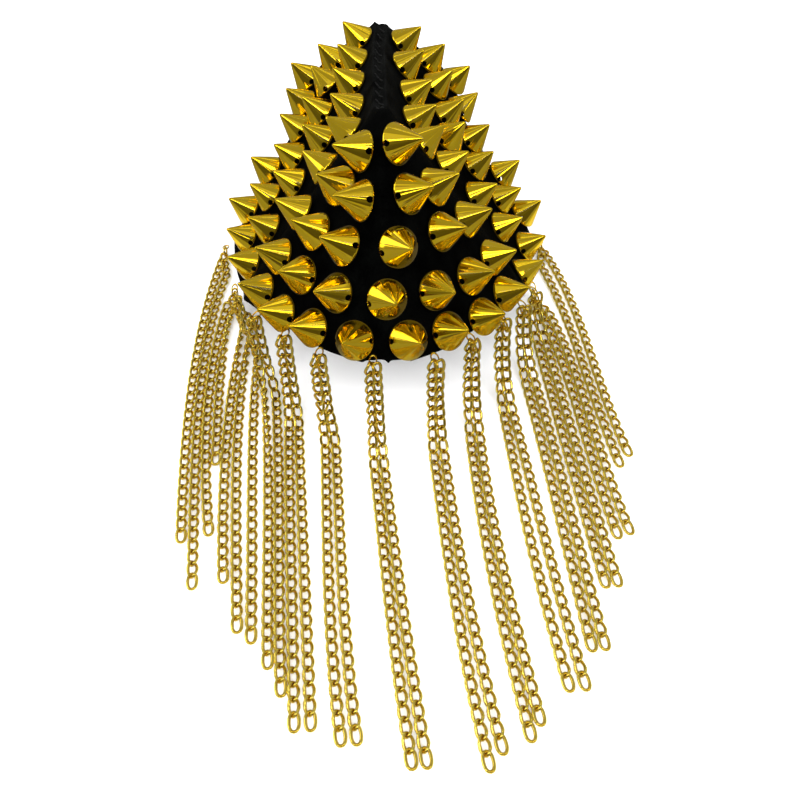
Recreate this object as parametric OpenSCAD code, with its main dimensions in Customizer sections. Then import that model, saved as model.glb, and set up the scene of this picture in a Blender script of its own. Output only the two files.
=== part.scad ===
/* [Pad] */
// Thickness of the padded felt
pad_wall = 4; // [3:0.5:6]
// Depth that the round of the centre ridge takes up
ridge_round = 3; // [2:0.5:6]
// Height of the two seam rails along the neck half
rail_h = 1.2; // [0:0.1:2]
// Distance of each seam rail from the centre
rail_x = 2.1; // [1.6:0.1:3]
/* [Cones] */
// Outer diameter of a cone stud at its base
cone_d = 12; // [8:0.5:13]
// Height of a cone stud
cone_h = 9.9; // [6:0.1:12]
// Wall of a cone stud
cone_wall = 0.7; // [0.5:0.1:1.2]
// Diameter of the two sew holes
sew_hole_d = 1.8; // [1:0.1:2.4]
// Gap between a cone's lip and the felt
seat_gap = 0.5; // [0.4:0.05:0.8]
/* [Fringe] */
// Width of a chain
chain_w = 2.6; // [2:0.1:3]
// Height of a chain that lies flat
chain_t = 1.8; // [1.2:0.1:2.4]
// Distance between the rings of faces along a chain
chain_step = 7.5; // [6:0.5:10]
// Outer diameter of a jump ring
ring_d = 4.2; // [3.6:0.1:5]
// Wire of a jump ring
ring_wire = 0.7; // [0.5:0.1:1]
/* [Pin] */
// Length of the brooch pin
pin_len = 40; // [30:1:50]
/* [Hidden] */
CHAINS = ["chain_01", "chain_02", "chain_03", "chain_04", "chain_05", "chain_06", "chain_07", "chain_08",
    "chain_09", "chain_10", "chain_11", "chain_12", "chain_13", "chain_14", "chain_15"];
felt = [0.04, 0.04, 0.045];
gold = [0.85, 0.68, 0.15];
steel = [0.75, 0.75, 0.77];
// From the pad's own centre line and widest part to the middle of the whole part's box
to_origin = [-5, 52.9, 0];
// Cross-sections of the pad from the arm end to the neck end
// along the pad, height of the ridge, fall of the flank for each mm across, half width
sections = [
    [-74, 39.2, 0.62, 7],
    [-70, 45.5, 0.77, 16.3],
    [-62, 58, 1.05, 25.6],
    [-46, 80, 1.45, 38.5],
    [-26, 89, 1.50, 50],
    [-4, 77, 1.43, 55],
    [20, 73, 1.25, 61],
    [34, 72, 1.12, 60],
    [46, 71, 1.00, 43],
    [58, 70.5, 0.88, 37],
    [68, 70, 0.78, 35],
    [76, 69.5, 0.72, 26]
];
RIDGE = 1;
FALL = 2;
HALF = 3;
last = len(sections) - 1;
// Cones of each side, row by row from the neck to the arm end, each row from the ridge outwards
// across, along, lean outwards, lean towards the neck, turn of the sew holes
left_cones = [
    [6.6, 64.2, 2.5, -3.3, -75],
    [8.1, 49.2, -2.2, -1.7, -75], [16.4, 63.5, 0, 0.2, -75],
    [8.7, 32.7, -4, -5.9, -75], [17.1, 46.8, -0.3, 16.7, -75], [27.2, 66.4, 1.7, 0.7, -75],
    [8.4, 14.8, -2.8, -7.2, -75], [20.9, 37.5, -4.3, 0.9, -75], [28.7, 54.3, -2.1, 0.7, -75],
    [8.9, -3.6, 2.4, 2, -75], [19.5, 19, -4.5, 0.3, -75], [29.3, 41.1, 2.1, 6, -75],
    [4, -37.8, 14, -3, -60], [17.2, -11.4, 1.2, -0.9, -75], [31.4, 29.8, 0.5, 1.3, -75], [42.2, 36.7, -5.5, 3.4, -75],
    [3.6, -49, 26, 7.3, -55], [11.1, -39.3, -10.9, 0.7, -75], [30.3, 14.4, 0.8, 1.4, -75], [40.5, 21.9, -0.3, 8.7, -75],
    [51, 29.3, -0.8, 6, -75],
    [8.8, -54, 13.5, 16.4, -55], [18.5, -43.1, -3.1, 8.9, -75], [24.6, -28.7, -0.1, 2.8, -75], [40.4, 7.3, -2.5, -0.9, -75], [51.4, 17.9, -0.6, 0.3, -75],
    [24, -48.3, -6.8, -2.3, -75], [31.8, -34.5, -2.6, -0.2, -75], [46, -3.2, 0.5, -19.8, -75],
    [13.2, -59.4, 5.9, 4.2, -75], [38.4, -37.7, -2.4, 0.7, -75],
    [21.2, -62, 3.7, 0.8, -75], [31.1, -51.7, 0.9, -0.5, -75],
    [8.8, -69.8, -5.1, 1.6, -75]
];
right_cones = [
    [7.8, 62.7, 7.1, -4.4, 75],
    [7.8, 45.3, 4.3, -4.3, 75], [18, 65, -0.6, -4.9, 75],
    [9.6, 27.6, 1.3, -4.6, 75], [19.9, 51.6, -1.3, -0.3, 75], [27.7, 64.4, 2.1, -0.9, 75],
    [9.9, 9.9, -2.4, -5.5, 75], [23.1, 38.5, -3.9, 1.4, 75], [28, 47.3, 4.6, 15.5, 75],
    [11.6, -5.3, 0.2, 0.4, 75], [21.9, 22.2, -15.3, -11.2, 75], [33.3, 39.8, -4.9, 0, 75],
    [2.6, -37.1, 10, -12.7, 62], [21.1, 6, -0.2, -1.1, 75], [33.3, 25.8, -5.9, 3.6, 75], [45.2, 36.3, -2.8, 8, 75],
    [6.3, -45.8, 2.8, 3.2, 66], [13.7, -36.8, -5.1, 3.8, 75], [32.5, 9.5, -3, -1.9, 75], [44.2, 24.8, 1.3, 2.2, 75],
    [53.9, 28.4, -5.7, 8.7, 75],
    [16.1, -45.5, -1.1, -4, 75], [24.5, -32.5, 0.4, -1.2, 75], [42.5, 9.3, 0.3, -3.7, 75], [54.1, 15.3, 0.1, 3.2, 75],
    [25.3, -48.2, -6.4, -2.3, 75], [33.2, -34.3, -1.4, -4.3, 75], [49.4, -5.9, 3.1, 0.3, 75],
    [14.2, -58.6, -4.4, -4.1, 75], [37.5, -41, -3.2, -2.2, 75],
    [18.1, -64.8, -0.1, 0.2, 75], [29.2, -55, -6.8, -3.2, 75],
    [6, -70.8, -2.1, 3.2, 75], [3.6, -56.5, -5.8, -0.5, 90], [0.2, -65.4, 12.9, 0.4, 90]
];
// Jump rings round the rim: across, along, direction that the ring points to, middle below the felt's face
rings = [
    [-61.6, 23, 262, 1], [-55, -4, 262, 1], [-52.9, -14, 262, 1], [-48.7, -29, 250, 1], [-40.8, -42.8, 236, 1.2],
    [-30.3, -57.4, 244, 2.1], [-19.1, -68.3, 254, 1.4], [-4, -74.3, 270, 1.6], [13.7, -71.6, 284, 1.4],
    [24.7, -63, 296, 1.4], [35.6, -50.2, 304, 1.2], [44.6, -36.8, 304, 1.2], [51.3, -22, 300, 1],
    [54.4, -7, 284, 1], [61.6, 23, 278, 1]
];
// Strands of the fringe as they lie on the table
// ring, along where it lies down, along where it ends, across at these two and at a third and two thirds
strands = [
    [1, 19, -113, -63.8, -66.9, -65.6, -61.4],
    [1, 9, -131, -61.2, -63.9, -60.9, -55.8],
    [2, -7, -113, -58.8, -60.6, -58.4, -53],
    [2, -7, -84, -55.8, -57.6, -56.6, -54.6],
    [3, -24, -129, -52, -52.6, -50.9, -47.2],
    [3, -24, -143, -48.8, -49.2, -46.2, -42],
    [4, -40, -146, -45.4, -43.6, -40.8, -38],
    [5, -58, -155, -41, -37.6, -35.2, -32.8],
    [5, -58, -160, -37.2, -34.2, -31.8, -29],
    [6, -70, -172, -32.2, -30, -27.4, -25],
    [6, -70, -171, -29, -26.4, -23.6, -20.8],
    [7, -80, -175, -20, -18.6, -16.6, -13],
    [7, -80, -175, -16.6, -14.8, -12.6, -9],
    [8, -90, -180, -4.2, -1.8, 0.8, 4.2],
    [8, -90, -182, -1, 1.6, 4.6, 8.2],
    [9, -84, -181, 14.6, 16.4, 19, 23.2],
    [9, -84, -177, 18, 19.8, 22.6, 26.8],
    [10, -77, -173, 26.8, 27.8, 30.2, 34],
    [10, -77, -172, 30, 31, 33.6, 37.2],
    [11, -66, -164, 38.8, 40.2, 42.4, 46],
    [11, -66, -162, 42, 44.4, 46.8, 50],
    [12, -54, -151, 48, 50, 51.6, 53.4],
    [12, -54, -151, 51.4, 53.6, 55.2, 57],
    [13, -34, -132, 54.6, 56.4, 58.4, 60.6],
    [13, -34, -132, 57.8, 59.8, 61.8, 64.2],
    [14, -16, -116, 58, 62.6, 64.6, 67.4],
    [14, -16, -114, 61, 65.8, 68, 71.2],
    [15, 12, -90, 61.8, 67.2, 70, 73.4],
    [15, 19, -85, 64.6, 70.9, 73.4, 77]
];

// One column of the section table at a place along the pad, as a smooth curve through the sections
function slope_at(col, i) =
    i == 0 ? (sections[1][col] - sections[0][col]) / (sections[1][0] - sections[0][0]) :
    i == last ? (sections[last][col] - sections[last - 1][col]) / (sections[last][0] - sections[last - 1][0]) :
    let (a = sections[i][0] - sections[i - 1][0],
        b = sections[i + 1][0] - sections[i][0],
        before = (sections[i][col] - sections[i - 1][col]) / a,
        after = (sections[i + 1][col] - sections[i][col]) / b)
    (before * b + after * a) / (a + b);
function bay(y, i = 0) = i >= last - 1 || y < sections[i + 1][0] ? i : bay(y, i + 1);
function along(col, y) =
    let (i = bay(y),
        span = sections[i + 1][0] - sections[i][0],
        t = (y - sections[i][0]) / span,
        u = 1 - t)
    (1 + 2 * t) * u * u * sections[i][col] + t * u * u * span * slope_at(col, i)
    + t * t * (3 - 2 * t) * sections[i + 1][col] - t * t * u * span * slope_at(col, i + 1);

// Height of the pad's plain outer face, and the same with the seam rails
function face_z(x, y) =
    along(RIDGE, y) - along(FALL, y) * (sqrt(x * x + ridge_round * ridge_round) - ridge_round);
rail_half = 1.3;
seam_end = -24;
function rail(x, y) =
    y < seam_end ? 0 : rail_h * max(0, 1 - pow((abs(x) - rail_x) / rail_half, 2)) * min(1, (y - seam_end) / 6);
function unit(v) = v / norm(v);
feel = 0.1;
function face_normal(x, y) = unit([
    face_z(x - feel, y) - face_z(x + feel, y),
    face_z(x, y - feel) - face_z(x, y + feel),
    2 * feel]);
function outer_point(x, y) = [x, y, max(0, face_z(x, y) + rail(x, y))];
// Under the ridge the wall is set straight down, and from here outwards square to the face
ridge_zone = 10;
function inner_point(x, y) =
    let (n = face_normal(x, y),
        b = min(1, abs(x) / ridge_zone),
        p = [x, y, face_z(x, y)] - pad_wall * [n[0] * b, n[1] * b, n[2] * b + (1 - b) / n[2]])
    [p[0], p[1], max(0, p[2])];

// Places of the grid across the pad, close together over the seam, and along it
seam_cols = [0, 1, 2.1, 3.2, 5];
flank_cols = 7;
function half_cols(y) = concat(seam_cols,
    [for (i = [1:flank_cols]) seam_cols[4] + (along(HALF, y) - seam_cols[4]) * i / flank_cols]);
function cols(y) = let (h = half_cols(y)) concat([for (i = [len(h) - 1:-1:1]) -h[i]], h);
rows_along = 34;
pad_from = sections[0][0];
pad_to = sections[last][0];
function row_y(i) = pad_from + (pad_to - pad_from) * i / rows_along;

// A closed sheet from two grids of points, the outer one above
module sheet(outer, inner) {
    m = len(outer);
    n = len(outer[0]);
    size = m * n;
    edge = concat([for (j = [0:n - 2]) j], [for (i = [0:m - 2]) i * n + n - 1],
        [for (j = [n - 1:-1:1]) (m - 1) * n + j], [for (i = [m - 1:-1:1]) i * n]);
    polyhedron(
        points = concat([for (r = outer) each r], [for (r = inner) each r]),
        faces = concat(
            [for (i = [0:m - 2], j = [0:n - 2]) each let (a = i * n + j)
                [[a, a + n, a + 1], [a + 1, a + n, a + n + 1]]],
            [for (i = [0:m - 2], j = [0:n - 2]) each let (a = size + i * n + j)
                [[a, a + 1, a + n], [a + 1, a + n + 1, a + n]]],
            [for (k = [0:len(edge) - 1]) each let (a = edge[k], b = edge[(k + 1) % len(edge)])
                [[a, b, a + size], [b, b + size, a + size]]]));
}

module pad() {
    color(felt) translate(to_origin) sheet(
        [for (i = [0:rows_along]) let (y = row_y(i)) [for (x = cols(y)) outer_point(x, y)]],
        [for (i = [0:rows_along]) let (y = row_y(i)) [for (x = cols(y)) inner_point(x, y)]]);
}

// Hollow cone with a small rounded lip, standing on the origin
lip = 0.25;
tip_r = 0.6;
hole_up = 1.1;
module cone() {
    r = cone_d / 2;
    difference() {
        rotate_extrude($fn = 48) polygon([
            [r - cone_wall, 0], [r - 0.2, 0], [r, 0.2], [r, 0.6], [r - lip, 1],
            [tip_r + 0.15, cone_h - 0.7], [tip_r - 0.15, cone_h - 0.2], [0, cone_h],
            [0, cone_h - 1.6], [r - lip - cone_wall, 1]]);
        translate([0, 0, hole_up]) rotate([0, 90, 0])
            cylinder(d = sew_hole_d, h = cone_d + 2, center = true, $fn = 24);
    }
}
// Direction of a cone's axis: the felt's normal with its two leans
function cone_axis(side, row) =
    let (n = face_normal(side * row[0], row[1]),
        out = unit([side, 0, 0] - side * n[0] * n),
        neck = side * cross(n, out))
    unit(n + tan(row[2]) * out + tan(row[3]) * neck);
// How far a cone stands up so that no part of its lip dips into the felt
function stand_off(side, row) =
    let (a = cone_axis(side, row),
        u = unit(cross(a, [0, 1, 0])),
        v = cross(a, u),
        x = side * row[0],
        z = face_z(x, row[1]))
    seat_gap + max([for (t = [0:20:340])
        let (p = [x, row[1], z] + (cos(t) * u + sin(t) * v) * cone_d / 2)
        (face_z(p[0], p[1]) - p[2]) * a[2]]);
module cones(side, table) {
    color(gold) translate(to_origin) for (row = table) {
        a = cone_axis(side, row);
        x = side * row[0];
        p = [x, row[1], face_z(x, row[1])] + a * stand_off(side, row);
        translate(p) rotate([0, acos(a[2]), atan2(a[1], a[0])]) rotate([0, 0, row[4]]) cone();
    }
}
module cones_left() cones(-1, left_cones);
module cones_right() cones(1, right_cones);

// Outward direction of the rim at a jump ring, and the ring's centre just clear of the rim
rim_gap = 0.5;
rim_slant = 0.45;
function rim_out(r) =
    r[1] <= sections[0][0] ? [0, -1] :
    unit([sign(r[0]), (along(HALF, r[1] - 1) - along(HALF, r[1] + 1)) / 2]);
function ring_dir(r) = [cos(r[2]), sin(r[2])];
function ring_centre(r) =
    let (out = rim_out(r),
        in_line = abs(out * ring_dir(r)),
        reach = rim_gap + in_line * ring_d / 2 + (1 - in_line) * ring_wire / 2 + 0.1 - rim_slant * (r[3] - 1),
        p = [r[0], r[1]] + out * reach)
    [p[0], p[1], max(ring_d / 2, face_z(r[0], r[1]) - r[3])];
module rim_rings() {
    color(gold) translate(to_origin) for (r = rings)
        translate(ring_centre(r)) rotate([90, 0, r[2]])
            rotate_extrude($fn = 32) translate([(ring_d - ring_wire) / 2, 0]) circle(d = ring_wire, $fn = 16);
}

// Route of one strand: a fall from its ring, then a smooth curve over the table
drop_gap = 0.35;
fall_steps = 4;
function across_at(s, t) =
    s[3] * (1 - 3 * t) * (2 - 3 * t) * (1 - t) / 2 + s[4] * 9 * t * (2 - 3 * t) * (1 - t) / 2
    - s[5] * 9 * t * (1 - 3 * t) * (1 - t) / 2 + s[6] * t * (1 - 3 * t) * (2 - 3 * t) / 2;
function on_table(s, t) = [across_at(s, t), s[1] + (s[2] - s[1]) * t, chain_t / 2];
function fall(s, side) =
    let (r = rings[s[0] - 1],
        c = ring_centre(r),
        d = ring_dir(r),
        start = [c[0] - side * d[1] * chain_w * 0.62, c[1] + side * d[0] * chain_w * 0.62,
            c[2] - ring_d / 2 - drop_gap],
        down = start - [0, 0, start[2] * 0.62],
        land = on_table(s, 0),
        before = land - unit(on_table(s, 0.05) - land) * 8)
    [for (i = [0:fall_steps - 1]) let (t = i / fall_steps, u = 1 - t)
        u * u * u * start + 3 * u * u * t * down + 3 * u * t * t * before + t * t * t * land];
high_ring = 4;
function route(s, side) = concat(
    ring_centre(rings[s[0] - 1])[2] > high_ring ? fall(s, side) : [],
    let (n = ceil((s[1] - s[2]) / chain_step)) [for (i = [0:n]) on_table(s, i / n)]);
// Eight-sided tube along a route, wide across and low
sides = 8;
module tube(path) {
    n = len(path);
    dirs = [for (i = [0:n - 1]) unit(path[min(i + 1, n - 1)] - path[max(i - 1, 0)])];
    wide = unit(cross(dirs[n - 1], [0, 0, 1]));
    points = [for (i = [0:n - 1], k = [0:sides - 1])
        let (high = unit(cross(wide, dirs[i])), a = (k + 0.5) * 360 / sides)
        path[i] + cos(a) / cos(180 / sides) * wide * chain_w / 2 + sin(a) / cos(180 / sides) * high * chain_t / 2];
    polyhedron(points = points, faces = concat(
        [[for (k = [sides - 1:-1:0]) k]],
        [[for (k = [0:sides - 1]) (n - 1) * sides + k]],
        [for (i = [0:n - 2], k = [0:sides - 1]) each
            let (a = i * sides + k, b = i * sides + (k + 1) % sides)
            [[a, b, a + sides], [b, b + sides, a + sides]]]));
}
module chain(number) {
    own = [for (s = strands) if (s[0] == number) s];
    color(gold) translate(to_origin)
        for (i = [0:len(own) - 1]) tube(route(own[i], len(own) == 1 ? 0 : 2 * i - 1));
}

// Plain brooch pin under the ridge: plate, two end posts and wire in one
pin_y = 30;
pin_w = 3;
pin_plate = 0.8;
module pin_bar() {
    under = min([for (y = [pin_y - pin_len / 2:4:pin_y + pin_len / 2]) inner_point(pin_w / 2, y)[2]]);
    z = under - seat_gap - pin_plate;
    color(steel) translate(to_origin + [0, pin_y, z]) {
        translate([-pin_w / 2, -pin_len / 2, 0]) cube([pin_w, pin_len, pin_plate]);
        for (y = [-pin_len / 2, pin_len / 2 - 2]) translate([-1, y, -3]) cube([2, 2, 3.2]);
        translate([0, -pin_len / 2 + 1, -2.4]) rotate([-90, 0, 0]) cylinder(d = 1, h = pin_len - 2, $fn = 24);
    }
}

pad();
cones_left();
cones_right();
rim_rings();
pin_bar();
for (i = [0:len(CHAINS) - 1]) chain(i + 1);
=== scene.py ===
import math
import random
import bpy
import numpy as np
from mathutils import Matrix, Vector
from mathutils.bvhtree import BVHTree


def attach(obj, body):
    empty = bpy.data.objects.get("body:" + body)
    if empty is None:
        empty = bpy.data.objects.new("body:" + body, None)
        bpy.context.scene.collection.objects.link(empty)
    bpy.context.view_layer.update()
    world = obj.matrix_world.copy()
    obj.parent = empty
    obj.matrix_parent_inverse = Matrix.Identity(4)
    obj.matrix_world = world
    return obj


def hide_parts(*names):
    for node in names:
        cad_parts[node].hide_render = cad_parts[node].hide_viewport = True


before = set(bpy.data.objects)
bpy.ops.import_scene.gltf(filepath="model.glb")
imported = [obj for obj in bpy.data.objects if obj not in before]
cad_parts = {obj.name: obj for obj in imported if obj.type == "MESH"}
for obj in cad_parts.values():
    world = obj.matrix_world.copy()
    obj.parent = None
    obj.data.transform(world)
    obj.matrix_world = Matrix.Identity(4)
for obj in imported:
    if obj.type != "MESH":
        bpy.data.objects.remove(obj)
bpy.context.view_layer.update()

# Studio
# The epaulette lies on a white table and is seen from the arm end, from above.
# A tube lamp behind the camera, one beyond the table, a window at the left and a dim ceiling light it.
# Two wide fill lamps light the felt and the table, and no metal mirrors them.
camera_data = bpy.data.cameras.new("camera")
camera_data.sensor_width = 36.0
camera_data.lens = 38.25
camera_data.clip_start = 0.01
camera = bpy.data.objects.new("camera", camera_data)
bpy.context.scene.collection.objects.link(camera)
camera.location = (-0.00598, -0.19717, 0.2145)
camera.rotation_euler = (math.radians(42.0), 0.0, math.radians(-1.6))
bpy.context.scene.camera = camera
bpy.context.scene.view_settings.view_transform = "Standard"


middle = (0.0, 0.03, 0.04)
warm_white, white = (1.0, 0.98, 0.94), (1.0, 1.0, 1.0)


def area_lamp(name, place, wide, high, glow, colour):
    """A flat lamp at a place that faces the epaulette, with the brightness its face shows in a mirror."""
    lamp = bpy.data.lights.new(name, "AREA")
    lamp.shape = "RECTANGLE"
    lamp.size = wide
    lamp.size_y = high
    lamp.energy = glow * math.pi * wide * high
    lamp.color = colour
    holder = bpy.data.objects.new(name, lamp)
    bpy.context.scene.collection.objects.link(holder)
    holder.location = place
    holder.rotation_euler = (Vector(middle) - Vector(place)).to_track_quat("-Z", "Y").to_euler()
    return holder


def lamp_place(azimuth, elevation, distance):
    """Azimuth 0 looks away from the camera, and 90 is to the right."""
    a, e = math.radians(azimuth), math.radians(elevation)
    level = distance * math.cos(e)
    return (level * math.sin(a), level * math.cos(a), distance * math.sin(e))


area_lamp("tube_behind_camera", lamp_place(178, 61, 1.3), wide=2.6, high=0.14, glow=5.6, colour=warm_white)
area_lamp("tube_far", lamp_place(2, 52, 1.5), wide=1.6, high=0.10, glow=1.7, colour=warm_white)
area_lamp("window_left", lamp_place(278, 32, 1.6), wide=0.9, high=0.9, glow=1.6, colour=white)
area_lamp("ceiling", lamp_place(180, 72, 2.0), wide=2.6, high=1.0, glow=0.38, colour=(1.0, 0.99, 0.97))
soft_fill = area_lamp("soft_fill", lamp_place(180, 80, 1.8), wide=3.4, high=3.4, glow=1.5, colour=white)
front_fill = area_lamp("front_fill", lamp_place(180, 36, 1.8), wide=3.0, high=1.6, glow=4.6, colour=white)
for fill in (soft_fill, front_fill):
    fill.visible_glossy = False

# The room is dark on the camera's side and paler beyond the table
world = bpy.data.worlds.new("room")
bpy.context.scene.world = world
world.use_nodes = True
tree = world.node_tree
tree.nodes.clear()
direction = tree.nodes.new("ShaderNodeTexCoord")
split = tree.nodes.new("ShaderNodeSeparateXYZ")
tree.links.new(direction.outputs["Generated"], split.inputs[0])
walls = tree.nodes.new("ShaderNodeValToRGB")
walls.color_ramp.elements[0].position = 0.0
walls.color_ramp.elements[0].color = (0.10, 0.095, 0.09, 1)
walls.color_ramp.elements[1].position = 1.0
walls.color_ramp.elements[1].color = (0.46, 0.46, 0.46, 1)
for where, grey in ((0.12, 0.13), (0.3, 0.36), (0.6, 0.42)):
    stop = walls.color_ramp.elements.new(where)
    stop.color = (grey, grey, grey * 0.98, 1)
turn = tree.nodes.new("ShaderNodeMapRange")
turn.inputs["From Min"].default_value = -1.0
turn.inputs["From Max"].default_value = 1.0
tree.links.new(split.outputs["Y"], turn.inputs["Value"])
tree.links.new(turn.outputs["Result"], walls.inputs["Fac"])
back = tree.nodes.new("ShaderNodeBackground")
back.inputs["Strength"].default_value = 0.88
tree.links.new(walls.outputs["Color"], back.inputs["Color"])
out = tree.nodes.new("ShaderNodeOutputWorld")
tree.links.new(back.outputs["Background"], out.inputs["Surface"])


def new_material(name):
    """A new material: gives it, its node tree and its shader."""
    material = bpy.data.materials.new(name)
    material.use_nodes = True
    return material, material.node_tree, material.node_tree.nodes["Principled BSDF"]


def blended(tree, share, first, second):
    """A mix of two colours, where each is a fixed colour or comes out of a node."""
    mix = tree.nodes.new("ShaderNodeMix")
    mix.data_type = "RGBA"
    tree.links.new(share, mix.inputs["Factor"])
    for socket, colour in (("A", first), ("B", second)):
        if isinstance(colour, tuple):
            mix.inputs[socket].default_value = (*colour, 1)
        else:
            tree.links.new(colour, mix.inputs[socket])
    return mix.outputs["Result"]


# The table is white to the camera, and grey to other rays, the darker the farther they have run
table_size, table_top = 8.0, -0.0002
table_white = (0.97, 0.97, 0.98)
short_ray, grey_after_short = 0.015, 0.62
long_ray, grey_after_long = 0.05, 0.15
bpy.ops.object.select_all(action="DESELECT")
bpy.ops.mesh.primitive_plane_add(size=table_size, location=(0, 0, table_top))
table = bpy.context.object
table.name = "table"
bpy.ops.object.transform_apply(location=True)
paper, tree, shader = new_material("table_white")
path = tree.nodes.new("ShaderNodeLightPath")
greyer = tree.nodes.new("ShaderNodeMapRange")
greyer.inputs["From Min"].default_value = short_ray
greyer.inputs["From Max"].default_value = long_ray
greyer.inputs["To Min"].default_value = grey_after_short
greyer.inputs["To Max"].default_value = grey_after_long
tree.links.new(path.outputs["Ray Length"], greyer.inputs["Value"])
shade = blended(tree, path.outputs["Is Camera Ray"], greyer.outputs["Result"], table_white)
tree.links.new(shade, shader.inputs["Base Color"])
shader.inputs["Roughness"].default_value = 0.9
shader.inputs["Specular IOR Level"].default_value = 0.1
table.data.materials.append(paper)

# Felt pad
# A moulded shoulder piece of black felt over foam, with a stitched seam along the ridge of its neck half.
# The felt swells a little between the studs that are sewn through it.
mm = 0.001
# The pad's own centre in the frame, in millimetres: places along and across the pad are counted from it
pad_centre = Vector((-5.0, 52.9, 0.0))


def cad_copy(node, name):
    """A merged copy of a CAD node's mesh as a new piece."""
    piece = bpy.data.objects.new(name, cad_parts[node].data.copy())
    bpy.context.scene.collection.objects.link(piece)
    piece.data.materials.clear()
    bpy.ops.object.select_all(action="DESELECT")
    bpy.context.view_layer.objects.active = piece
    piece.select_set(True)
    bpy.ops.object.mode_set(mode="EDIT")
    bpy.ops.mesh.select_all(action="SELECT")
    bpy.ops.mesh.remove_doubles(threshold=0.000005)
    bpy.ops.object.mode_set(mode="OBJECT")
    return piece


def solids_of(node):
    """The loose solids of a CAD node, each as an array of its points."""
    piece = cad_copy(node, "study")
    mesh = piece.data
    near = [[] for _ in mesh.vertices]
    for edge in mesh.edges:
        a, b = edge.vertices
        near[a].append(b)
        near[b].append(a)
    seen = [False] * len(near)
    found = []
    for start in range(len(near)):
        if seen[start]:
            continue
        seen[start] = True
        group, front = [], [start]
        while front:
            at = front.pop()
            group.append(at)
            for other in near[at]:
                if not seen[other]:
                    seen[other] = True
                    front.append(other)
        found.append(np.array([mesh.vertices[i].co[:] for i in group]))
    bpy.data.objects.remove(piece)
    return found


def own_ways(points):
    """The three main directions of a cloud of points, from the thinnest to the longest."""
    return np.linalg.eigh(np.cov((points - points.mean(axis=0)).T))[1]


# The foot, axis and hole direction of each stud, read from its solid
stud_tall = 0.0099
# A point of the widest ring has another point of the stud at least this far away
rim_reach = 0.0119
# Heights between which the edges of the sew holes lie, and how far out they are at least
hole_low, hole_high, hole_out = 0.00105, 0.0024, 0.003
studs = {}
for side in ("cones_left", "cones_right"):
    studs[side] = []
    for points in solids_of(side):
        reach = np.linalg.norm(points[:, None] - points[None], axis=2).max(axis=1)
        rim = points[reach > rim_reach]
        axis = own_ways(rim)[:, 0]
        heights = (points - rim.mean(axis=0)) @ axis
        if heights.max() < -heights.min():
            axis, heights = -axis, -heights
        tip = points[heights.argmax()]
        foot = tip - axis * stud_tall
        up = (points - foot) @ axis
        outwards = points - foot - up[:, None] * axis
        edge = (up > hole_low) & (up < hole_high) & (np.linalg.norm(outwards, axis=1) > hole_out)
        across = np.linalg.eigh(outwards[edge].T @ outwards[edge])[1][:, 2]
        studs[side].append((Vector(foot), Vector(axis), Vector(across)))


def rounded(piece):
    """Subdivides a piece once, with rounding."""
    smoother = piece.modifiers.new("rounder", "SUBSURF")
    smoother.levels = smoother.render_levels = 1
    bpy.ops.object.modifier_apply(modifier="rounder")


pad = cad_copy("pad", "felt_pad")
bpy.ops.object.mode_set(mode="EDIT")
bpy.ops.mesh.select_all(action="SELECT")
bpy.ops.mesh.tris_convert_to_quads(face_threshold=1.2, shape_threshold=1.2)
bpy.ops.object.mode_set(mode="OBJECT")
rounded(pad)
# The cloth is held round each stud, along the lower edge and along the ridge
sew_reach, edge_reach, ridge_reach = 0.0045, 0.002, 0.004
pressure, most_swell, last_step = 2.0, 0.00045, 12
felt_before = [v.co.copy() for v in pad.data.vertices]
held = pad.vertex_groups.new(name="held")
for v in pad.data.vertices:
    nearest = min((v.co - foot).length for side in studs for foot, axis, across in studs[side])
    on_ridge = abs(v.co.x - pad_centre.x * mm) < ridge_reach
    grip = 1.0 if nearest < sew_reach or v.co.z < edge_reach or on_ridge else 0.0
    held.add([v.index], grip, "REPLACE")
cloth = pad.modifiers.new("swell", "CLOTH")
cloth.settings.vertex_group_mass = "held"
cloth.settings.use_pressure = True
cloth.settings.uniform_pressure_force = pressure
cloth.settings.effector_weights.gravity = 0.0
cloth.settings.quality = 4
cloth.collision_settings.use_collision = False
cloth.point_cache.frame_start = 1
cloth.point_cache.frame_end = last_step
for step in range(1, last_step + 1):
    bpy.context.scene.frame_set(step)
bpy.context.view_layer.objects.active = pad
bpy.ops.object.modifier_apply(modifier="swell")
bpy.context.scene.frame_set(1)
for v, was in zip(pad.data.vertices, felt_before):
    move = v.co - was
    if move.length > most_swell:
        move = move * (most_swell / move.length)
    v.co = was + move
    if v.co.z < 0:
        v.co.z = 0.0
rounded(pad)


def eased(value, low, high):
    """0 up to the low value, 1 from the high value on, and smooth between."""
    t = min(1.0, max(0.0, (value - low) / (high - low)))
    return t * t * (3 - 2 * t)


# The seam: a groove with a lip on either side, and a painted sheen that lightens the felt where it faces up
# along it, in millimetres
seam_aside, seam_bend = -0.5, 1.4
lip_aside, lip_wide, lip_high, lips_sink_by = 2.2, 0.95, 0.95, 0.8
groove_wide, groove_deep = 1.3, 0.75
# How wide the painted sheen spreads to either side of the seam
sheen_wide = 6.0
# How far upwards a point of the felt faces where the seam and its painted sheen show, and below which it is
# the lining's
on_top, lining_faces = (0.1, 0.5), 0.3
# Places along the pad between which the seam starts, its lips sink and its line bends towards the neck
seam_starts, lips_sink, seam_bends = (-24, -14), (66, 76), (44, 70)
# How far the lower edge tucks in beside the neck, where along it, how near the edge, and how clear of a stud
tuck_in, neck_starts, near_edge, clear_of_stud = 3.2, (26, 38), (0.72, 0.96), (2.5, 6.5)
# How far the lining side of the front rim is lifted, how wide across, and where along
lining_lift, lift_wide, front_rim = 0.5, 2.4, (62, 70)


def seam_across(along):
    """The seam's own place across the pad: it bends a little to the right near the neck's end."""
    return seam_aside + seam_bend * eased(along, *seam_bends)


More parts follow.
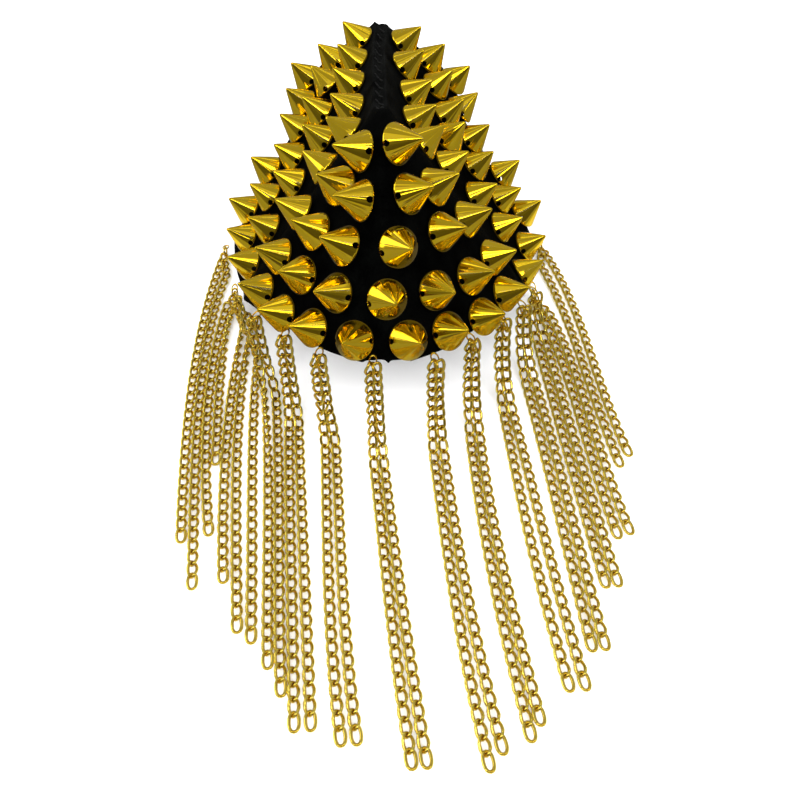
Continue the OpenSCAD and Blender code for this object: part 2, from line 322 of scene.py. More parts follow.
facing_up = [v.normal.z for v in pad.data.vertices]
feet = np.array([foot[:] for side in studs for foot, axis, across in studs[side]])
skin = np.array([v.co[:] for v in pad.data.vertices])
stud_near = np.min([np.linalg.norm(skin - foot, axis=1) for foot in feet], axis=0) / mm
# Half the pad's width by its place along
pad_from, pad_to, slice_long = -80.0, 82.0, 4.0
slices = np.arange(pad_from, pad_to, slice_long)
own_slice = np.digitize(skin[:, 1] / mm - pad_centre.y, slices)
half_width = []
for i in range(len(slices) + 1):
    half_width.append(np.abs(skin[own_slice == i, 0] / mm - pad_centre.x).max(initial=1.0))
# Painted sheen: the felt is painted lighter where it faces up along the seam
sheen_mark = pad.data.attributes.new("painted_sheen", "FLOAT", "POINT")
for v in pad.data.vertices:
    along = v.co.y / mm - pad_centre.y
    aside = v.co.x / mm - pad_centre.x - seam_across(along)
    run = eased(along, *seam_starts) * eased(facing_up[v.index], *on_top)
    lips = math.exp(-((abs(aside) - lip_aside) / lip_wide) ** 2)
    groove = math.exp(-(aside / groove_wide) ** 2)
    raised = lip_high * lips * (1 - lips_sink_by * eased(along, *lips_sink))
    v.co.z += run * (raised - groove_deep * groove) * mm
    sheen_mark.data[v.index].value = run * math.exp(-(aside / sheen_wide) ** 2)
    outer = abs(v.co.x / mm - pad_centre.x) / half_width[own_slice[v.index]]
    tuck = tuck_in * eased(along, *neck_starts) * eased(outer, *near_edge)
    v.co.x -= math.copysign(tuck * eased(stud_near[v.index], *clear_of_stud), aside) * mm
    if facing_up[v.index] < lining_faces:
        v.co.z += lining_lift * math.exp(-(aside / lift_wide) ** 2) * eased(-along, *front_rim) * mm
    v.co.z = max(v.co.z, 0.0)
bpy.ops.object.shade_smooth()


def fibre_group():
    """Tangled fibres: a light and dark mask, and a height for the bump."""
    group = bpy.data.node_groups.new("felt_fibres", "ShaderNodeTree")
    group.interface.new_socket("Vector", in_out="INPUT", socket_type="NodeSocketVector")
    group.interface.new_socket("Fineness", in_out="INPUT", socket_type="NodeSocketFloat")
    group.interface.new_socket("Mask", in_out="OUTPUT", socket_type="NodeSocketFloat")
    group.interface.new_socket("Height", in_out="OUTPUT", socket_type="NodeSocketFloat")
    nodes, links = group.nodes, group.links
    start = nodes.new("NodeGroupInput")
    end = nodes.new("NodeGroupOutput")
    # The blotches are coarser than the fibres by this factor
    blotch_scale = 0.08
    coarser = nodes.new("ShaderNodeMath")
    coarser.operation = "MULTIPLY"
    coarser.inputs[1].default_value = blotch_scale
    links.new(start.outputs["Fineness"], coarser.inputs[0])
    blotch = nodes.new("ShaderNodeTexNoise")
    blotch.inputs["Detail"].default_value = 3.0
    links.new(start.outputs["Vector"], blotch.inputs["Vector"])
    links.new(coarser.outputs[0], blotch.inputs["Scale"])
    fuzz = nodes.new("ShaderNodeTexNoise")
    fuzz.inputs["Detail"].default_value = 6.0
    fuzz.inputs["Roughness"].default_value = 0.7
    fuzz.inputs["Distortion"].default_value = 1.2
    links.new(start.outputs["Vector"], fuzz.inputs["Vector"])
    links.new(start.outputs["Fineness"], fuzz.inputs["Scale"])
    both = nodes.new("ShaderNodeMath")
    both.operation = "MULTIPLY"
    links.new(blotch.outputs["Fac"], both.inputs[0])
    links.new(fuzz.outputs["Fac"], both.inputs[1])
    links.new(both.outputs[0], end.inputs["Mask"])
    links.new(fuzz.outputs["Fac"], end.inputs["Height"])
    return group


def object_coordinates(tree):
    """The output of Object coordinates in a material."""
    return tree.nodes.new("ShaderNodeTexCoord").outputs["Object"]


def two_tones(tree, mask, low, dark, high, light):
    """A colour that runs from dark at a mask's low value to light at its high value."""
    ramp = tree.nodes.new("ShaderNodeValToRGB")
    first, last = ramp.color_ramp.elements
    first.position, first.color = low, (*dark, 1)
    last.position, last.color = high, (*light, 1)
    tree.links.new(mask, ramp.inputs["Fac"])
    return ramp.outputs["Color"]


def relief(tree, shader, height, strength, deep):
    """Gives a shader fine relief from a height."""
    bump = tree.nodes.new("ShaderNodeBump")
    bump.inputs["Strength"].default_value = strength
    bump.inputs["Distance"].default_value = deep
    tree.links.new(height, bump.inputs["Height"])
    tree.links.new(bump.outputs["Normal"], shader.inputs["Normal"])


felt, tree, shader = new_material("black_felt")
fibres = tree.nodes.new("ShaderNodeGroup")
fibres.node_tree = fibre_group()
fibres.inputs["Fineness"].default_value = 1600.0
tree.links.new(object_coordinates(tree), fibres.inputs["Vector"])
mask = fibres.outputs["Mask"]
plain_tone = two_tones(tree, mask, 0.16, (0.0001, 0.0001, 0.00012), 0.42, (0.0013, 0.0015, 0.0013))
# The lighter tone is painted sheen, where the felt faces up along the seam
sheen_tone = two_tones(tree, mask, 0.14, (0.0006, 0.0006, 0.00065), 0.42, (0.0085, 0.009, 0.0085))
painted_sheen = tree.nodes.new("ShaderNodeAttribute")
painted_sheen.attribute_name = "painted_sheen"
tones = blended(tree, painted_sheen.outputs["Fac"], plain_tone, sheen_tone)
# Metal mirrors the felt lighter and more golden than the felt itself looks
mirrored_felt = (0.05, 0.045, 0.03)
path = tree.nodes.new("ShaderNodeLightPath")
felt_colour = blended(tree, path.outputs["Is Glossy Ray"], tones, mirrored_felt)
tree.links.new(felt_colour, shader.inputs["Base Color"])
relief(tree, shader, fibres.outputs["Height"], strength=0.6, deep=0.0003)
shader.inputs["Roughness"].default_value = 0.95
shader.inputs["Specular IOR Level"].default_value = 0.02
pad.data.materials.append(felt)
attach(pad, "root")
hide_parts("pad")

# Cone studs
# Hollow cones of thin plastic with a bright gold metal coat, a rolled lip and two sew holes.
# Each sits where its solid does, a hair above the felt.

# Radius and height of each ring of the cone's outside, from the lip to the tip, in millimetres
stud_rings = [
    (5.30, 0.05), (5.55, 0.00), (5.80, 0.12), (5.95, 0.38), (5.95, 0.66), (5.82, 0.98),
    (4.72, 2.80), (3.22, 5.24), (1.80, 7.52), (0.75, 9.20), (0.42, 9.66), (0.22, 9.84)
]
stud_wall = 0.6
hole_radius, hole_height, drill_long = 0.92, 1.12, 14


def lathe(name, rings, around, tip_rise):
    """A shell pulled up ring by ring from a circle, as on a spinning lathe, and closed at its tip."""
    bpy.ops.object.select_all(action="DESELECT")
    radius, height = rings[0]
    bpy.ops.mesh.primitive_circle_add(vertices=around, radius=radius * mm, location=(0, 0, height * mm))
    shell = bpy.context.object
    shell.name = name
    bpy.ops.object.transform_apply(location=True)
    bpy.ops.object.mode_set(mode="EDIT")
    bpy.ops.mesh.select_all(action="SELECT")
    for r, h in rings[1:]:
        bpy.ops.mesh.extrude_edges_move(TRANSFORM_OT_translate={"value": (0, 0, (h - height) * mm)})
        bpy.ops.transform.resize(value=(r / radius, r / radius, 1), center_override=(0, 0, 0))
        radius, height = r, h
    bpy.ops.mesh.extrude_edges_move(TRANSFORM_OT_translate={"value": (0, 0, tip_rise * mm)})
    bpy.ops.mesh.merge(type="CENTER")
    bpy.ops.object.mode_set(mode="OBJECT")
    return shell


stud = lathe("stud", stud_rings, around=64, tip_rise=0.05)
bpy.ops.object.mode_set(mode="EDIT")
bpy.ops.mesh.select_all(action="SELECT")
bpy.ops.mesh.normals_make_consistent(inside=False)
bpy.ops.object.mode_set(mode="OBJECT")
wall = stud.modifiers.new("wall", "SOLIDIFY")
wall.thickness = stud_wall * mm
wall.offset = -1.0
bpy.ops.object.modifier_apply(modifier="wall")
bpy.ops.object.select_all(action="DESELECT")
bpy.ops.mesh.primitive_cylinder_add(vertices=24, radius=hole_radius * mm, depth=drill_long * mm,
                                    location=(0, 0, hole_height * mm), rotation=(0, math.pi / 2, 0))
drill = bpy.context.object
bpy.ops.object.select_all(action="DESELECT")
stud.select_set(True)
bpy.context.view_layer.objects.active = stud
holes = stud.modifiers.new("holes", "BOOLEAN")
holes.operation = "DIFFERENCE"
holes.object = drill
holes.solver = "MANIFOLD"
bpy.ops.object.modifier_apply(modifier="holes")
bpy.data.objects.remove(drill)

# The tilt of the coat between rings, so that the mirror finish runs smoothly past the holes
slopes = []
for (r0, h0), (r1, h1) in zip(stud_rings, stud_rings[1:]):
    slopes.append(math.atan2(r0 - r1, h1 - h0))
# The flank is straight between these two rings
flank_starts, flank_ends = 6, 9


def stud_normal(point):
    """The smooth outer normal of the stud at a point."""
    height = point.z / mm
    around = Vector((point.x, point.y, 0))
    around = around.normalized() if around.length > 1e-9 else Vector((0, 0, 0))
    for i in range(1, len(stud_rings)):
        if height <= stud_rings[i][1] or i == len(stud_rings) - 1:
            break
    low, high = stud_rings[i - 1][1], stud_rings[i][1]
    t = min(1, max(0, (height - low) / max(1e-6, high - low)))
    before = (slopes[max(0, i - 2)] + slopes[i - 1]) / 2
    after = (slopes[i - 1] + slopes[min(len(slopes) - 1, i)]) / 2
    if i == flank_starts:
        after = slopes[flank_starts]
    tilt = before * (1 - t) + after * t
    if flank_starts < i <= flank_ends:
        tilt = slopes[flank_starts]
    return (around * math.cos(tilt) + Vector((0, 0, 1)) * math.sin(tilt)).normalized()


mesh = stud.data
for face in mesh.polygons:
    face.use_smooth = True
# Each point keeps its place on its own stud, in millimetres, for the finish
own_place = mesh.attributes.new("own_place", "FLOAT_VECTOR", "POINT")
for v in mesh.vertices:
    own_place.data[v.index].vector = v.co / mm
# Faces of the outside above the lip take the smooth normals, and the others stay flat
lip_top, same_way = 0.6, 0.9
own_normals = []
for face in mesh.polygons:
    outer = face.normal.dot(stud_normal(face.center)) > same_way and face.center.z > lip_top * mm
    for loop in face.loop_indices:
        point = mesh.vertices[mesh.loops[loop].vertex_index].co
        own_normals.append(stud_normal(point) if outer else face.normal.copy())
mesh.normals_split_custom_set(own_normals)


def worn_gloss_group():
    """Fine wear in a metal's gloss: a roughness between two values, and the mask it follows."""
    group = bpy.data.node_groups.new("worn_gloss", "ShaderNodeTree")
    group.interface.new_socket("Vector", in_out="INPUT", socket_type="NodeSocketVector")
    for socket in ("Fineness", "Detail", "Smoothest", "Roughest"):
        group.interface.new_socket(socket, in_out="INPUT", socket_type="NodeSocketFloat")
    for socket in ("Mask", "Roughness"):
        group.interface.new_socket(socket, in_out="OUTPUT", socket_type="NodeSocketFloat")
    nodes, links = group.nodes, group.links
    start = nodes.new("NodeGroupInput")
    end = nodes.new("NodeGroupOutput")
    wear = nodes.new("ShaderNodeTexNoise")
    links.new(start.outputs["Vector"], wear.inputs["Vector"])
    links.new(start.outputs["Fineness"], wear.inputs["Scale"])
    links.new(start.outputs["Detail"], wear.inputs["Detail"])
    gloss = nodes.new("ShaderNodeMapRange")
    links.new(wear.outputs["Fac"], gloss.inputs["Value"])
    links.new(start.outputs["Smoothest"], gloss.inputs["To Min"])
    links.new(start.outputs["Roughest"], gloss.inputs["To Max"])
    links.new(wear.outputs["Fac"], end.inputs["Mask"])
    links.new(gloss.outputs["Result"], end.inputs["Roughness"])
    return group


worn_gloss = worn_gloss_group()


def wear_gloss(tree, shader, fineness, detail, smoothest, roughest):
    """Gives a metal its worn gloss, and hands on the mask of the wear."""
    wear = tree.nodes.new("ShaderNodeGroup")
    wear.node_tree = worn_gloss
    tree.links.new(object_coordinates(tree), wear.inputs["Vector"])
    wear.inputs["Fineness"].default_value = fineness
    wear.inputs["Detail"].default_value = detail
    wear.inputs["Smoothest"].default_value = smoothest
    wear.inputs["Roughest"].default_value = roughest
    tree.links.new(wear.outputs["Roughness"], shader.inputs["Roughness"])
    return wear.outputs["Mask"]


def gold_coat(name, colour, roughness, streak):
    """Bright gold coat: streaks of the moulding run up each cone, with soft stains in its gloss."""
    material, tree, shader = new_material(name)
    shader.inputs["Metallic"].default_value = 1.0
    where = tree.nodes.new("ShaderNodeAttribute")
    where.attribute_name = "own_place"
    parts = tree.nodes.new("ShaderNodeSeparateXYZ")
    tree.links.new(where.outputs["Vector"], parts.inputs[0])
    # Only the direction round the cone counts, so each streak runs from the lip to the tip
    level = tree.nodes.new("ShaderNodeCombineXYZ")
    tree.links.new(parts.outputs["X"], level.inputs["X"])
    tree.links.new(parts.outputs["Y"], level.inputs["Y"])
    round_it = tree.nodes.new("ShaderNodeVectorMath")
    round_it.operation = "NORMALIZE"
    tree.links.new(level.outputs[0], round_it.inputs[0])
    spread = tree.nodes.new("ShaderNodeVectorMath")
    spread.operation = "SCALE"
    spread.inputs["Scale"].default_value = 3.6
    tree.links.new(round_it.outputs[0], spread.inputs[0])
    own = tree.nodes.new("ShaderNodeAttribute")
    own.attribute_name = "own_number"
    ripple = tree.nodes.new("ShaderNodeTexNoise")
    ripple.noise_dimensions = "4D"
    ripple.inputs["Scale"].default_value = 1.2
    ripple.inputs["Detail"].default_value = 1.5
    ripple.inputs["Roughness"].default_value = 0.5
    facets = tree.nodes.new("ShaderNodeTexVoronoi")
    facets.voronoi_dimensions = "4D"
    facets.inputs["Scale"].default_value = 0.85
    for texture in (ripple, facets):
        tree.links.new(spread.outputs[0], texture.inputs["Vector"])
        tree.links.new(own.outputs["Fac"], texture.inputs["W"])
    facet_share = 1.1
    summed = tree.nodes.new("ShaderNodeMath")
    summed.operation = "MULTIPLY_ADD"
    summed.inputs[1].default_value = facet_share
    tree.links.new(facets.outputs["Distance"], summed.inputs[0])
    tree.links.new(ripple.outputs["Fac"], summed.inputs[2])
    # Fading with the cone's own width keeps each streak's slope the same up to the tip
    fade_by_height, full_at_foot = -0.1, 1.04
    narrower = tree.nodes.new("ShaderNodeMath")
    narrower.operation = "MULTIPLY_ADD"
    narrower.inputs[1].default_value = fade_by_height
    narrower.inputs[2].default_value = full_at_foot
    tree.links.new(parts.outputs["Z"], narrower.inputs[0])
    height = tree.nodes.new("ShaderNodeMath")
    height.operation = "MULTIPLY"
    tree.links.new(summed.outputs[0], height.inputs[0])
    tree.links.new(narrower.outputs[0], height.inputs[1])
    relief(tree, shader, height.outputs[0], strength=streak, deep=0.0004)
    stain = wear_gloss(tree, shader, fineness=260.0, detail=5.0,
                       smoothest=roughness * 0.6, roughest=roughness * 1.5)
    deeper = (colour[0] * 0.96, colour[1] * 0.86, colour[2] * 0.8)
    tree.links.new(blended(tree, stain, colour, deeper), shader.inputs["Base Color"])
    shader.inputs["Specular Tint"].default_value = (0.95, 0.85, 0.4, 1)
    shader.inputs["Coat Weight"].default_value = 0.35
    shader.inputs["Coat Roughness"].default_value = 0.04
    return material


def join_pieces(pieces, name):
    """Joins pieces into one whose object sits at the world's origin, with no material yet."""
    bpy.ops.object.select_all(action="DESELECT")
    for piece in pieces:
        piece.select_set(True)
    bpy.context.view_layer.objects.active = pieces[0]
    bpy.ops.object.join()
    whole = bpy.context.view_layer.objects.active
    whole.name = name
    bpy.ops.object.transform_apply(location=True, rotation=True, scale=True)
    whole.data.materials.clear()
    return whole


def copy_at(master, place, number):
    """A copy of a small master piece, moved to its place in its own mesh and numbered for its finish."""
    mesh = master.data.copy()
    mesh.transform(place)
    mark = mesh.attributes.new("own_number", "FLOAT", "POINT")
    mark.data.foreach_set("value", [float(number)] * len(mesh.vertices))
    piece = bpy.data.objects.new(master.name + "_copy", mesh)
    bpy.context.scene.collection.objects.link(piece)
    return piece


def stand(foot, axis, across):
    """The place of a piece whose own z runs along the axis and x along across."""
    third = axis.cross(across)
    turned = Matrix((across, third, axis)).transposed().to_4x4()
    return Matrix.Translation(foot) @ turned


stud_gold = gold_coat("stud_gold", (0.90, 0.64, 0.014), roughness=0.07, streak=0.6)
# Numbers this far apart give each cone its own streaks
number_step = 3.7
number = 0
for side in ("cones_left", "cones_right"):
    row = []
    for foot, axis, across in studs[side]:
        number += 1
        row.append(copy_at(stud, stand(foot, axis, across), number * number_step))
    whole = join_pieces(row, "studs_" + side[6:])
    whole.data.materials.append(stud_gold)
    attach(whole, "root")
    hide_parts(side)
bpy.data.objects.remove(stud)

# Seam thread
# Long whip stitches of thick black thread lie slanting in the groove of the seam, one after the other.
# A stitch is modelled once, straight, and every copy is laid on the felt with its two ends sunk in.
stitch_count, first_stitch = 14, 77.0
stitch_long, stitch_step, stitch_slant, end_overlap = 6.8, 6.9, 1.35, 0.9
thread_half, neck_half, end_half = 0.36, 0.26, 0.10
# How high the thread lies on the felt, how deep its ends go, and how its section is spread and slanted
thread_up, end_sunk, section_wide, section_slant = 0.28, 0.62, 0.95, 0.3
stitch_rings = [(end_half, 0.0), (neck_half, 0.1)]
stitch_rings += [(thread_half, height) for height in (0.4, 1.0, 1.7, 2.4, 3.1, 3.8, 4.5, 5.2, 5.8, 6.4)]
stitch_rings += [(neck_half, 6.7), (end_half, stitch_long)]
stitch = lathe("stitch", stitch_rings, around=10, tip_rise=0.02)
felt_faces = [list(face.vertices) for face in pad.data.polygons]
felt_tree = BVHTree.FromPolygons([v.co.copy() for v in pad.data.vertices], felt_faces)
over_felt, felt_top = 200.0, 0.09
stitches = []
for i in range(stitch_count):
    piece = copy_at(stitch, Matrix.Identity(4), i)
    top_along = first_stitch - stitch_step * i
    for v in piece.data.vertices:
        t = v.co.z / mm / stitch_long
        along = top_along - (stitch_long - end_overlap) * t
        aside = seam_across(along) + stitch_slant * (2 * t - 1)
        above = Vector((pad_centre.x + aside, pad_centre.y + along, over_felt)) * mm
        ground = felt_tree.ray_cast(above, Vector((0, 0, -1)))[0]
        # The first stitch starts just beyond the felt, and that end goes to the felt nearest to it
        if ground is None:
            ground = felt_tree.find_nearest(Vector((above.x, above.y, felt_top)))[0]
        sunk = end_sunk * (2 * t - 1) ** 6
        section = Vector((v.co.x * section_wide, -v.co.x * section_slant, v.co.y + (thread_up - sunk) * mm))
        v.co = ground + section
    stitches.append(piece)
whole = join_pieces(stitches, "seam_thread")
bpy.ops.object.shade_smooth()
thread, tree, shader = new_material("black_thread")
plies = tree.nodes.new("ShaderNodeTexWave")
plies.bands_direction = "DIAGONAL"
plies.inputs["Scale"].default_value = 420.0
plies.inputs["Distortion"].default_value = 1.5
tree.links.new(object_coordinates(tree), plies.inputs["Vector"])
dark_thread, light_thread = (0.0006, 0.0006, 0.0007), (0.006, 0.0064, 0.006)
thread_tone = two_tones(tree, plies.outputs["Fac"], 0.0, dark_thread, 1.0, light_thread)
tree.links.new(thread_tone, shader.inputs["Base Color"])
relief(tree, shader, plies.outputs["Fac"], strength=0.5, deep=0.0002)
shader.inputs["Roughness"].default_value = 0.75
shader.inputs["Specular IOR Level"].default_value = 0.2
whole.data.materials.append(thread)
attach(whole, "root")
bpy.data.objects.remove(stitch)

# Jump rings
# Small rings of bright gold wire, one under the rim of the pad for each chain.
# A narrow eye of the same wire holds each ring, and its upper end sits in the edge of the felt.
ring_radius, ring_wire = 1.75, 0.35
# From a ring's middle up to where its eye starts, then to the eye's middle and to the felt that is sought
eye_starts, eye_middle, felt_above = 1.5, 1.5, 1.6
# The eye is a ring made narrower, a little longer and thinner
eye_shape = (0.62, 1.05, 0.75)
bpy.ops.object.select_all(action="DESELECT")
bpy.ops.mesh.primitive_torus_add(major_segments=40, minor_segments=12,
                                 major_radius=ring_radius * mm, minor_radius=ring_wire * mm)
ring = bpy.context.object
ring.name = "jump_ring"
bpy.ops.object.shade_smooth()


def mark_painted_light(piece, values):
    """Writes how lit each point of a piece is painted, from 1 fully lit down to painted shade."""
    mark = piece.data.attributes.new("painted_light", "FLOAT", "POINT")
    mark.data.foreach_set("value", values)


def gold_plate(name, colour, shade_colour, roughness):
    """Gold plating on brass wire, painted shade in brown where the painted light mark is low, with fine wear
    in its gloss.
    """
    material, tree, shader = new_material(name)
    shader.inputs["Metallic"].default_value = 1.0
    rub = wear_gloss(tree, shader, fineness=700.0, detail=4.0,
                     smoothest=roughness * 0.6, roughest=roughness * 1.6)
    deeper = (colour[0] * 0.9, colour[1] * 0.78, colour[2] * 0.7)
    # Painted shade: where the painted light mark is low, the plating is painted brown
    painted_light = tree.nodes.new("ShaderNodeAttribute")
    painted_light.attribute_name = "painted_light"
    wear_and_shade = blended(tree, painted_light.outputs["Fac"], shade_colour, blended(tree, rub, colour, deeper))
    tree.links.new(wear_and_shade, shader.inputs["Base Color"])
    relief(tree, shader, rub, strength=0.15, deep=0.0001)
    return material


# The jump rings are painted fully lit, with no painted shade
mark_painted_light(ring, [1.0] * len(ring.data.vertices))
wire_gold = gold_plate("wire_gold", (0.98, 0.74, 0.08), shade_colour=(0.42, 0.25, 0.01), roughness=0.2)
rings = []
ring_places = []
for points in solids_of("rim_rings"):
    ways = own_ways(points)
    centre, sideways = Vector(points.mean(axis=0)), Vector(ways[:, 0])
    rings.append(copy_at(ring, stand(centre, sideways, Vector(ways[:, 1])), len(rings)))
    ring_places.append((centre, sideways))
for centre, sideways in ring_places:
    hang = centre + Vector((0, 0, eye_starts * mm))
    seat = felt_tree.find_nearest(hang + Vector((0, 0, felt_above * mm)))[0]
    rise = (seat - hang).normalized()
    rise = (rise - sideways * rise.dot(sideways)).normalized()
    place = stand(hang + rise * eye_middle * mm, sideways.cross(rise), sideways)
    rings.append(copy_at(ring, place @ Matrix.Diagonal((*eye_shape, 1.0)), len(rings)))
whole = join_pieces(rings, "jump_rings")
whole.data.materials.append(wire_gold)
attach(whole, "root")
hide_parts("rim_rings")
bpy.data.objects.remove(ring)

# Fringe
# Strands of fine curb chain hang from the jump rings and lie out over the table, two to a ring but for one.
# Each link is an oval of gold-plated brass wire, twisted so that the chain lies flat.
link_long, link_wide, link_wire = 5.95, 3.6, 1.0
link_step, link_twist = 3.95, 45.0
# The radius of the round ring that a link is drawn from, and how full the oval's shoulders are
drawn_from, shoulders = 1.5, 0.85
# Painted light on a link: how lit it is, lit brighter on its outer face, and painted shade in brown on its
# inner face and at its two ends, where the links meet
link_lit, outer_face_lit, end_shade, end_power = 0.9, 0.55, 0.95, 5
# How high the middle of a chain lies over the table
chain_rides = 1.35


def oval_link(name, twist):
    """One link: a small torus drawn out to an oval and twisted along its length."""
    bpy.ops.object.select_all(action="DESELECT")
    bpy.ops.mesh.primitive_torus_add(major_segments=18, minor_segments=6,
                                     major_radius=drawn_from * mm, minor_radius=link_wire / 2 * mm)
    link = bpy.context.object
    link.name = name
    half_long, half_wide = (link_long - link_wire) / 2 * mm, (link_wide - link_wire) / 2 * mm
    bright = []
    for v in link.data.vertices:
        a = math.atan2(v.co.y, v.co.x)
        off = v.co - Vector((math.cos(a), math.sin(a), 0)) * drawn_from * mm
        out_by = off.x * math.cos(a) + off.y * math.sin(a)
        cx = math.copysign(abs(math.cos(a)) ** shoulders, math.cos(a)) * half_long
        cy = math.copysign(abs(math.sin(a)) ** shoulders, math.sin(a)) * half_wide
        outward = Vector((math.cos(a) * half_wide, math.sin(a) * half_long, 0)).normalized()
        p = Vector((cx, cy, 0)) + outward * out_by + Vector((0, 0, off.z))
        outer_face = out_by / (link_wire / 2 * mm)
        # Painted light on the outer face, and painted shade on the inner face and at the ends, where links
        # meet
        painted_light = link_lit + outer_face_lit * outer_face - end_shade * abs(math.cos(a)) ** end_power
        bright.append(min(1.0, max(0.0, painted_light)))
        roll = math.radians(twist) * p.x / half_long
        v.co = Matrix.Rotation(roll, 3, "X") @ p
    mark_painted_light(link, bright)
    bpy.ops.object.shade_smooth()
    return link


link = oval_link("link", link_twist)
last_link = oval_link("last_link", 0.0)

# Strands as they lie on the table, in millimetres from the pad's own centre: ring, along where it lies down,
# along where it ends, and across where it lies down, at a third, at two thirds and where it ends
strands = [
    (1, 19, -113, -63.8, -66.9, -65.6, -61.4),
    (1, 9, -131, -61.2, -63.9, -60.9, -55.8),
    (2, -7, -113, -58.8, -60.6, -58.4, -53),
    (2, -7, -84, -55.8, -57.6, -56.6, -54.6),
    (3, -24, -129, -52, -52.6, -50.9, -47.2),
    (3, -24, -143, -48.8, -49.2, -46.2, -42),
    (4, -40, -146, -45.4, -43.6, -40.8, -38),
    (5, -58, -155, -41, -37.6, -35.2, -32.8),
    (5, -58, -160, -37.2, -34.2, -31.8, -29),
    (6, -70, -172, -32.2, -30, -27.4, -25),
    (6, -70, -171, -29, -26.4, -23.6, -20.8),
    (7, -80, -175, -20, -18.6, -16.6, -13),
    (7, -80, -175, -16.6, -14.8, -12.6, -9),
    (8, -90, -180, -4.2, -1.8, 0.8, 4.2),
    (8, -90, -182, -1, 1.6, 4.6, 8.2),
    (9, -84, -181, 14.6, 16.4, 19, 23.2),
    (9, -84, -177, 18, 19.8, 22.6, 26.8),
    (10, -77, -173, 26.8, 27.8, 30.2, 34),
    (10, -77, -172, 30, 31, 33.6, 37.2),
    (11, -66, -164, 38.8, 40.2, 42.4, 46),
    (11, -66, -162, 42, 44.4, 46.8, 50),
    (12, -54, -151, 48, 50, 51.6, 53.4),
    (12, -54, -151, 51.4, 53.6, 55.2, 57),
    (13, -34, -132, 54.6, 56.4, 58.4, 60.6),
    (13, -34, -132, 57.8, 59.8, 61.8, 64.2),
    (14, -16, -116, 58, 62.6, 64.6, 67.4),
    (14, -16, -114, 61, 65.8, 68, 71.2),
    (15, 12, -90, 61.8, 67.2, 70, 73.4),
    (15, 19, -85, 64.6, 70.9, 73.4, 77)
]


def on_table(strand, t):
    """A strand's place on the table, t from 0 where it lies down to 1 at its end."""
    start, end, x0, x1, x2, x3 = strand[1:]
    x = (x0 * (1 - 3 * t) * (2 - 3 * t) * (1 - t) / 2 + x1 * 9 * t * (2 - 3 * t) * (1 - t) / 2
         - x2 * 9 * t * (1 - 3 * t) * (1 - t) / 2 + x3 * t * (1 - 3 * t) * (2 - 3 * t) / 2)
    return (Vector((x, start + (end - start) * t, chain_rides)) + pad_centre) * mm


# The point that the rings are counted round, and the height up to which a ring lies on the table
rim_middle, low_ring = (-0.005, 0.06), 0.0035
# Where a strand leaves its ring: aside and up from a hanging ring's middle, and along from a low one's
leaves_aside, leaves_up, leaves_along = 0.00108, 0.0005, 0.0022
# The share of its height over which a strand first drops, and how far before the table spot it flattens out
first_drop, flattens = 0.62, 0.008
# Shares of a strand's stretch on the table over which its first direction is taken
first_bit, first_stretch = 0.03, 0.05
drop_steps, table_steps = 30, 60


def ring_of(strand):
    """The jump ring that a strand hangs from, by the rings' order round the rim."""
    order = sorted(ring_places, key=lambda place: math.atan2(place[0].x - rim_middle[0],
                                                             -(place[0].y - rim_middle[1])))
    return order[strand[0] - 1][0]


def strand_path(strand, side):
    """Close-set points down a strand, from its ring to its end."""
    centre = ring_of(strand)
    land = on_table(strand, 0.0)
    flow = (on_table(strand, first_bit) - land).normalized()
    if centre.z > low_ring:
        across = Vector((-flow.y, flow.x, 0.0)) * side
        start = centre + across * leaves_aside + Vector((0, 0, leaves_up))
        down = start - Vector((0, 0, start.z * first_drop))
        before = land - flow * flattens
    else:
        start = centre + flow * leaves_along
        start.z = chain_rides * mm
        down = start + (land - start) / 3
        before = start + (land - start) * 2 / 3
    points = []
    for i in range(drop_steps):
        t = i / drop_steps
        u = 1 - t
        points.append(u ** 3 * start + 3 * u * u * t * down + 3 * u * t * t * before + t ** 3 * land)
    for i in range(table_steps + 1):
        points.append(on_table(strand, i / table_steps))
    return points


# Places where a strand hangs turned over: chain, strand, link, most turn in degrees, links on either side
turned_over = [
    (2, 1, 4, 70, 4.0), (3, 0, 4.5, 70, 4.5), (3, 1, 4.5, 70, 4.5), (4, 0, 4.5, 70, 4.5),
    (5, 0, 7, 68, 6.5), (12, 0, 3, 65, 4.0), (7, 0, 5, 65, 2.0), (7, 1, 5, -70, 2.2),
    (9, 0, 3, 60, 1.8), (9, 1, 3.5, -65, 2.2), (10, 0, 6.5, 70, 1.2), (10, 1, 1.5, -65, 2.2)
]
# Degrees that each link lies askew at most, and that a hanging strand turns outwards and sways
askew, turns_out, sways = 4, 26, 10
# How the sway goes on from link to link and from chain to chain
sway_by_link, sway_by_chain = 0.9, 1.7
# A link counts as hanging from the first height on, and fully so after the second one more
hangs_from, hangs_over = 1.2, 6
# The first link's middle, in steps, and how level a way has to be for the links to lie flat on it
first_link, level_enough = 0.2, 0.7

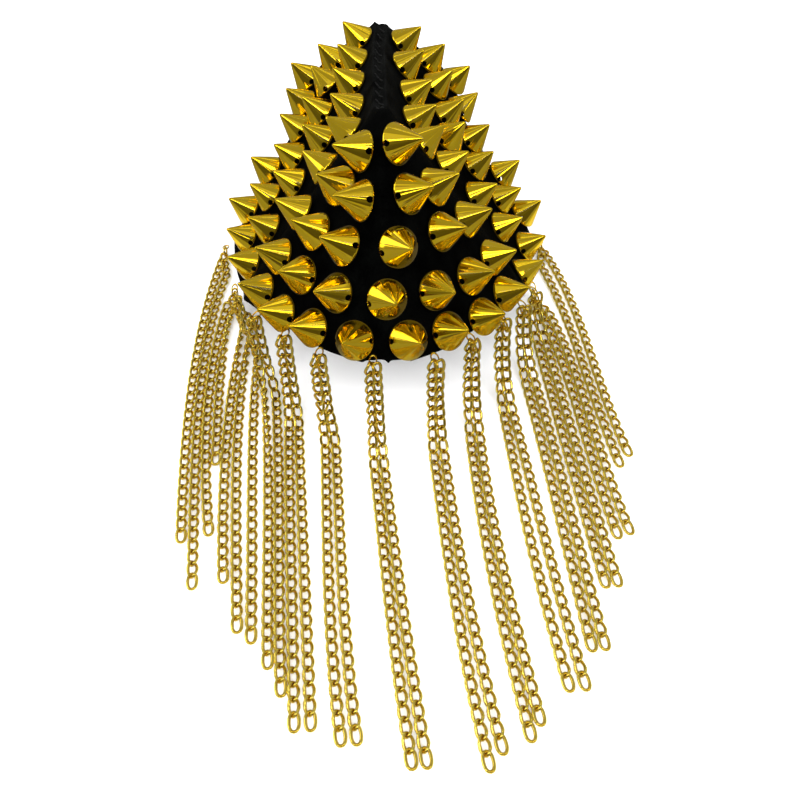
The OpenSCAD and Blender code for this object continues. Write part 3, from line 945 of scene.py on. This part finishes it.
chain_gold = gold_plate("chain_gold", (1.0, 0.85, 0.17), shade_colour=(0.62, 0.38, 0.02), roughness=0.17)
luck = random.Random(7)
for chain in range(1, 16):
    own = [s for s in strands if s[0] == chain]
    links = []
    for turn_number, strand in enumerate(own):
        side = 0 if len(own) == 1 else 2 * turn_number - 1
        points = strand_path(strand, side)
        flow = on_table(strand, first_stretch) - on_table(strand, 0.0)
        sideways = Vector((-flow.y, flow.x, 0)).normalized()
        lengths = [0.0]
        for a, b in zip(points, points[1:]):
            lengths.append(lengths[-1] + (b - a).length)
        count = int((lengths[-1] - link_long * mm * 0.5) / (link_step * mm))
        at = 0
        for i in range(count + 1):
            run = (first_link + i) * link_step * mm
            while lengths[at + 1] < run:
                at += 1
            t = (run - lengths[at]) / (lengths[at + 1] - lengths[at])
            place = points[at].lerp(points[at + 1], t)
            way = (points[min(at + 2, len(points) - 1)] - points[max(at - 1, 0)]).normalized()
            level = Vector((-way.y, way.x, 0))
            flat = level.normalized() if level.length > level_enough else sideways
            flat = (flat - way * flat.dot(way)).normalized()
            high = way.cross(flat)
            lift = min(1.0, max(0.0, (place.z / mm - hangs_from) / hangs_over))
            roll = luck.uniform(-askew, askew)
            sway = sways * math.sin(i * sway_by_link + chain * sway_by_chain + side)
            roll += lift * (turns_out * side + sway)
            for turned_chain, turned_strand, link_number, most, spread in turned_over:
                if turned_chain == chain and turned_strand == turn_number:
                    roll += most * math.exp(-((i - link_number) / spread) ** 2)
            roll = math.radians(roll)
            # A link that stands on edge rises until it only touches the table
            place.z = max(place.z, (abs(math.sin(roll)) * link_wide / 2 + link_wire / 2) * mm)
            turned = Matrix.Rotation(roll, 3, way)
            flat, high = turned @ flat, turned @ high
            lies = Matrix.Translation(place) @ Matrix((way, flat, high)).transposed().to_4x4()
            links.append(copy_at(last_link if i == count else link, lies, chain))
    whole = join_pieces(links, "fringe_%02d" % chain)
    whole.data.materials.append(chain_gold)
    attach(whole, "root")
    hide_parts("chain_%02d" % chain)
bpy.data.objects.remove(link)
bpy.data.objects.remove(last_link)

# Brooch pin
# A nickel-plated bar with its pin wire, fixed in the hollow under the ridge.
# Its shape is the solid's own, and its plating has fine scuffs.
nickel, tree, shader = new_material("nickel")
shader.inputs["Metallic"].default_value = 1.0
wear_gloss(tree, shader, fineness=900.0, detail=2.0, smoothest=0.15, roughest=0.35)
shader.inputs["Base Color"].default_value = (0.62, 0.61, 0.58, 1)
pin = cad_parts["pin_bar"]
pin.data.materials.clear()
pin.data.materials.append(nickel)
